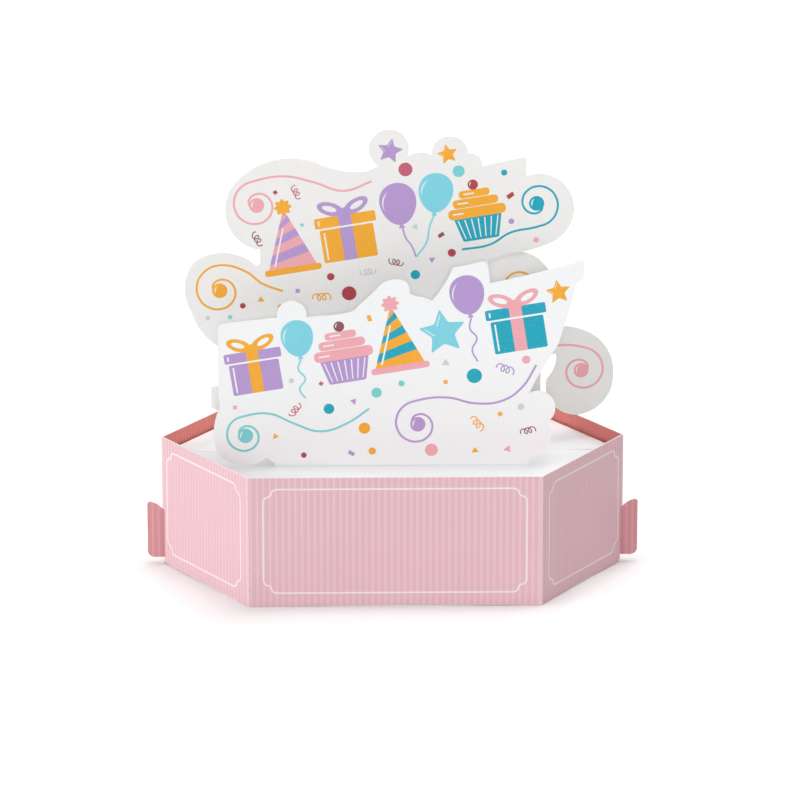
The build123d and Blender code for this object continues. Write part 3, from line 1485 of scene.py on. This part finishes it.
@dataclass
class PrintedSheet:
    """Die-cut display sheet, printed on its front."""

    name: str
    node: bpy.types.Object
    pictures: Sequence[Placed] = ()
    scrolls: Sequence[Scroll] = ()
    lines: Sequence[Stroke] = ()
    scraps: int = 0
    seed: int = 1
    lowest: float = 0.0
    clearance: float = 1.5
    scrap_apart: float = 2.2
    small_bias: float = 1.5
    throws: int = 6000
    face_on: float = 0.5

    def front(self, shell: Shell) -> Side:
        """Finds the front of the sheet.

        Args:
            shell: Shell of the sheet.

        Returns:
            The side to print on.
        """
        forward = Vector((0, -1, 0))
        areas: dict[float, float] = {}
        for face in shell.mesh.faces:
            if face.normal.dot(forward) > SAME_WAY:
                offset = round(face.verts[0].co.dot(forward), 6)
                areas[offset] = areas.get(offset, 0) + face.calc_area()
        return Side(forward, max(areas, key=areas.get))

    def scatter(self, ring: Outline, marks: Sequence[Mark]) -> list[Scrap]:
        """Throws confetti on what is still bare.

        Args:
            ring: Outline of the sheet.
            marks: What is printed already.

        Returns:
            Scraps that keep clear of the outline, the marks and each other.
        """
        rng = random.Random(self.seed)
        taken = [point for outline in (ring, *(mark.outline for mark in marks)) for point in spaced(outline)]
        tree = KDTree(len(taken))
        for number, point in enumerate(taken):
            tree.insert((*point, 0), number)
        tree.balance()
        kinds = [kind for kind in Confetto for _ in range(kind.weight)]
        low = min(x for x, _ in ring), max(self.lowest, min(z for _, z in ring))
        high = max(x for x, _ in ring), max(z for _, z in ring)
        scraps: list[Scrap] = []
        for _ in range(self.throws):
            if len(scraps) == self.scraps:
                break
            kind, ink = rng.choice(kinds), rng.choice(CONFETTI_INKS)
            size = kind.least + (kind.most - kind.least) * rng.random() ** self.small_bias
            place = rng.uniform(low[0], high[0]), rng.uniform(low[1], high[1])
            turn = rng.uniform(0, math.tau)
            room = tree.find((*place, 0))[2] - size / 2
            gaps = [math.dist(place, scrap.place) - (size + scrap.size) / 2 for scrap in scraps]
            clear = room > self.clearance and min(gaps, default=math.inf) > self.clearance * self.scrap_apart
            if clear and inside(place, ring) and not any(inside(place, mark.outline) for mark in marks):
                scraps.append(Scrap(kind, ink, place, size, turn))
        return scraps

    def marks(self, shop: PrintShop, ring: Outline) -> list[Mark]:
        """Lays out the print: lines and scrolls below, pictures over them, confetti in between.

        Args:
            shop: Print shop with inks and node trees.
            ring: Outline of the sheet.

        Returns:
            The marks from the bottom one to the top one.
        """
        drawn = shop.drawn([*self.lines, *(scroll.stroke() for scroll in self.scrolls)])
        printed = drawn + [mark for placed in (*self.scrolls, *self.pictures) for mark in placed.marks()]
        return printed + shop.scattered(self.scatter(ring, printed))

    def dress(self, shell: Shell) -> None:
        """Gives the sheet's cut edges their own slot and leaves its faces bare.

        Args:
            shell: Shell of the sheet.
        """
        panels = shell.panels()
        for face in shell.mesh.faces:
            bare = face in panels or abs(face.normal.y) > self.face_on
            face.material_index = SheetSlot.CARD if bare else SheetSlot.EDGE

    def further_finishes(self) -> list[bpy.types.Material]:
        """Gives finishes after the card and its edge; a plain sheet has none."""
        return []

    def build(self, shop: PrintShop, card: bpy.types.Material, edge: bpy.types.Material) -> bpy.types.Object:
        """Builds the printed sheet.

        Args:
            shop: Print shop with inks and node trees.
            card: Finish of the bare card.
            edge: Finish of the cut edges.

        Returns:
            The finished piece.
        """
        shell = Shell(self.node)
        side = self.front(shell)
        self.dress(shell)
        ring = [side.flat(vert.co) for vert in shell.rim(shell.island(side, SheetSlot.CARD))]
        marks = self.marks(shop, ring)
        used = sorted({mark.ink for mark in marks} - {Ink.PAPER}, key=lambda ink: ink.name)
        finishes = [card, edge, *self.further_finishes()]
        slots = {ink: number for number, ink in enumerate(used, len(finishes))}
        shell.imprint(side, marks, slots, SheetSlot.CARD)
        return shell.piece(self.name, finishes + [shop.inks[ink] for ink in used])


@dataclass
class SpineSheet(PrintedSheet):
    """Middle display sheet, whose spine and locking tabs below the deck are striped like the box, darker with painted
    shade.
    """

    # The tab stripes are darker than the box's outside stripes: painted shade.
    stripes: PinstripeFinish = PinstripeFinish("tab pinstripes", (211, 145, 151), (218, 161, 166))
    stripe: float = 1.73
    tab_share: float = 0.9
    fold_far: float = 100.0

    def dress(self, shell: Shell) -> None:
        """Parts the sheet at the top of its spine and stripes what lies below.

        Args:
            shell: Shell of the sheet.
        """
        reach = max(vert.co.x for vert in shell.mesh.verts) * self.tab_share
        level = max(vert.co.z for vert in shell.mesh.verts if vert.co.x > reach)
        everything = [*shell.mesh.verts, *shell.mesh.edges, *shell.mesh.faces]
        bmesh.ops.bisect_plane(shell.mesh, geom=everything, dist=Shell.merge, plane_co=(0, 0, level),
                               plane_no=(0, 0, 1))
        super().dress(shell)
        layer = shell.mesh.loops.layers.uv.new(PANEL_UV)
        for face in shell.mesh.faces:
            if face.calc_center_median().z < level and face.material_index == SheetSlot.CARD:
                face.material_index = SheetSlot.SPINE
                for loop in face.loops:
                    loop[layer].uv = loop.vert.co.x / MM / self.stripe + self.fold_far, self.fold_far

    def further_finishes(self) -> list[bpy.types.Material]:
        """Gives the striped finish of the spine and its tabs."""
        return [self.stripes.build()]


# Studio, with lengths in metres and angles in degrees


@dataclass(frozen=True)
class Lamp:
    """Broad soft light: turn to the left of the front, height up, and spread across it."""

    name: str
    turn: float
    height: float
    spread: float
    strength: float

    def hang(self) -> None:
        """Hangs the light."""
        data = bpy.data.lights.new(self.name, "SUN")
        data.angle = math.radians(self.spread)
        data.energy = self.strength
        lamp = add_object(self.name, data)
        lamp.rotation_euler = (math.radians(90 - self.height), 0, math.radians(-self.turn))


@dataclass(frozen=True)
class Studio:
    """Camera, floor and soft light."""

    place: tuple[float, float, float] = (-0.0273, -1.548, 0.5258)
    pitch: float = 17.1
    yaw: float = 1.09
    lens: float = 251.2
    sensor: float = 36.0
    floor_half: float = 4.0
    ambient: float = 0.08
    lamps: tuple[Lamp, ...] = (
        Lamp("left", 70.0, 10.0, 30.0, 1.76),
        Lamp("front", 0.0, 17.0, 12.0, 0.96),
        Lamp("top", 0.0, 90.0, 24.0, 1.31),
        Lamp("rear", -140.0, 60.0, 50.0, 1.03),
        Lamp("back", 170.0, 14.0, 30.0, 0.65),
    )

    def camera(self) -> None:
        """Sets the camera at the photograph's angle."""
        data = bpy.data.cameras.new("camera")
        data.lens = self.lens
        data.sensor_width = self.sensor
        camera = add_object("camera", data)
        camera.location = self.place
        camera.rotation_euler = (math.radians(90 - self.pitch), 0, math.radians(-self.yaw))
        bpy.context.scene.camera = camera

    def floor(self) -> None:
        """Lays the floor."""
        half = self.floor_half
        data = flat_mesh("floor", [[(-half, -half), (half, -half), (half, half), (-half, half)]])
        data.materials.append(FloorFinish().build())
        floor = add_object("floor", data)
        floor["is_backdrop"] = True

    def world(self) -> None:
        """Fills the room with even light, and with white where the camera sees it."""
        graph = Shader(bpy.data.worlds.new("studio"))
        strength = graph.ray("Is Camera Ray") * (1 - self.ambient) + self.ambient
        light = graph.node("ShaderNodeBackground", {"Color": linear(WHITE), "Strength": strength})
        bpy.context.scene.world = graph.close(light, "ShaderNodeOutputWorld")

    def build(self) -> None:
        """Builds the studio."""
        bpy.context.scene.view_settings.view_transform = "Standard"
        self.camera()
        self.floor()
        for lamp in self.lamps:
            lamp.hang()
        self.world()


# Layouts of the print, in millimetres from the middle of the card and up from the table

STRING = 0.5  # width of a balloon's string


def front_sheet(node: bpy.types.Object) -> PrintedSheet:
    """Lays out the front sheet: a rising row of party pictures over scrolls and confetti.

    Args:
        node: The sheet's CAD node.

    Returns:
        The sheet, ready to be built.
    """
    pictures = [
        Placed(Gift(Ink.PURPLE, Ink.ORANGE), -38.7, 56.5, 17.2),
        Placed(Balloon(Ink.SKY), -26.7, 67.1, 11.0),
        Placed(Cupcake(Ink.PURPLE, Ink.PINK, Ink.MAROON), -13.0, 59.4, 18.2),
        Placed(PartyHat(Ink.ORANGE, Ink.TEAL, Ink.PINK), 2.2, 62.6, 22.5),
        Placed(Star(Ink.SKY), 15.2, 67.4, 13.6),
        Placed(Balloon(Ink.PURPLE), 22.0, 79.4, 11.8),
        Placed(Gift(Ink.TEAL, Ink.PINK), 36.8, 68.6, 18.2),
        Placed(Star(Ink.ORANGE), 47.7, 82.4, 7.2),
    ]
    lines = [
        Stroke(Ink.SKY, [(-26.6, 66.2), (-27.3, 63.4), (-25.3, 60.4), (-26.9, 57.4), (-25.3, 54.6)], STRING),
        Stroke(Ink.PURPLE, [(22.3, 78.5), (21.9, 75.2), (23.9, 72.4), (22.6, 68.8), (24.2, 65.4)], STRING),
    ]
    scrolls = [
        Scroll(Ink.PURPLE, (7.0, 46.6), 7.2, 1.2, 162, Hand.RIGHT,
               ((15.5, 54.6), (23.5, 52.8), (31.5, 53.6), (37.2, 57.8), (41.0, 64.2))),
        Scroll(Ink.AQUA, (-42.6, 43.4), 6.0, 1.25, 180, Hand.RIGHT,
               ((-35.6, 50.0), (-28.6, 47.0), (-21.0, 44.6), (-13.0, 47.2), (-7.0, 51.4))),
    ]
    return PrintedSheet("front_print", node, pictures, scrolls, lines, scraps=26, seed=5)


def middle_sheet(node: bpy.types.Object) -> SpineSheet:
    """Lays out the middle sheet: a second row of pictures, with scrolls in the round lobes.

    Args:
        node: The sheet's CAD node.

    Returns:
        The sheet, ready to be built.
    """
    pictures = [
        Placed(PartyHat(Ink.PINK, Ink.PURPLE, Ink.ORANGE), -28.4, 88.0, 22.0),
        Placed(Gift(Ink.ORANGE, Ink.PURPLE), -11.8, 92.0, 18.5),
        Placed(Balloon(Ink.PURPLE), 2.6, 102.2, 12.6),
        Placed(Balloon(Ink.SKY), 12.0, 105.8, 11.8, -4.0),
        Placed(Cupcake(Ink.TEAL, Ink.ORANGE, Ink.RED), 25.6, 97.8, 17.8),
        Placed(Star(Ink.PURPLE), -1.4, 120.5, 7.4, -10.0),
        Placed(Star(Ink.ORANGE), 16.5, 120.2, 6.0, 14.0),
    ]
    lines = [
        Stroke(Ink.PURPLE, [(2.9, 101.3), (3.8, 98.4), (5.6, 95.8), (6.8, 92.6)], STRING),
        Stroke(Ink.SKY, [(11.9, 105.0), (10.6, 101.4), (9.9, 97.2), (6.8, 92.6)], STRING),
    ]
    scrolls = [
        Scroll(Ink.ORANGE, (-49.8, 82.8), 7.6, 1.25, 180, Hand.RIGHT,
               ((-42.4, 88.6), (-37.4, 84.8), (-31.6, 82.6))),
        Scroll(Ink.TEAL, (41.4, 108.4), 7.0, 1.2, 342, Hand.RIGHT,
               ((34.0, 99.8), (28.0, 96.2), (20.0, 94.8))),
        Scroll(Ink.PINK, (-39.0, 108.2), 7.4, 1.3, 198, Hand.RIGHT,
               ((-31.0, 116.8), (-22.6, 115.0), (-14.0, 112.4), (-6.0, 115.2))),
    ]
    return SpineSheet("middle_print", node, pictures, scrolls, lines, scraps=42, seed=9, lowest=72.0)


def rear_sheet(node: bpy.types.Object) -> PrintedSheet:
    """Lays out the rear sheet: scrolls in the lobes that show past the other two.

    Args:
        node: The sheet's CAD node.

    Returns:
        The sheet, ready to be built.
    """
    scrolls = [
        Scroll(Ink.PINK, (55.4, 54.0), 7.2, 1.25, 0, Hand.LEFT, ((48.6, 61.6), (43.0, 60.2), (37.0, 61.6))),
        Scroll(Ink.ORANGE, (36.6, 79.4), 6.0, 1.2, 342, Hand.RIGHT, ((29.0, 72.6), (21.0, 74.6))),
    ]
    return PrintedSheet("rear_print", node, (), scrolls, scraps=14, seed=3, lowest=48.0)


def main() -> None:
    """Builds the card's pieces in order and rides them on the frame."""
    logging.basicConfig(level=logging.INFO, format="%(message)s", stream=sys.stdout)
    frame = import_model()
    cad_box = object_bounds()
    nodes = frame["nodes"]
    Studio().build()
    shop = PrintShop()
    card, edge = CardFinish().build(), CutEdgeFinish().build()

    box = StripedBox(nodes["box_band"]).build(shop, edge)
    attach(box, "root")
    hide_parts("box_band")

    # The middle and rear sheets take a darker, warmer white than the front sheet: painted shade from the sheets in
    # front.
    inner = CardFinish("inner white card", (241, 240, 238)).build()
    layouts = {"front_sheet": (front_sheet, card), "spine_sheet": (middle_sheet, inner),
               "rear_sheet": (rear_sheet, inner)}
    for name, (layout, stock) in layouts.items():
        piece = layout(nodes[name]).build(shop, stock, edge)
        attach(piece, "root")
        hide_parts(name)
    shop.confetti.discard()

    for name, node in nodes.items():
        if name.startswith(("deck", "bridge")):
            node.data.materials.clear()
            node.data.materials.append(card)
            LOG.info("%s: white card", name)

    boxes = {"cad": cad_box, "visual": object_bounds()}
    {key: [list(corner) for corner in box] for key, box in boxes.items()}


if __name__ == "__main__":
    main()
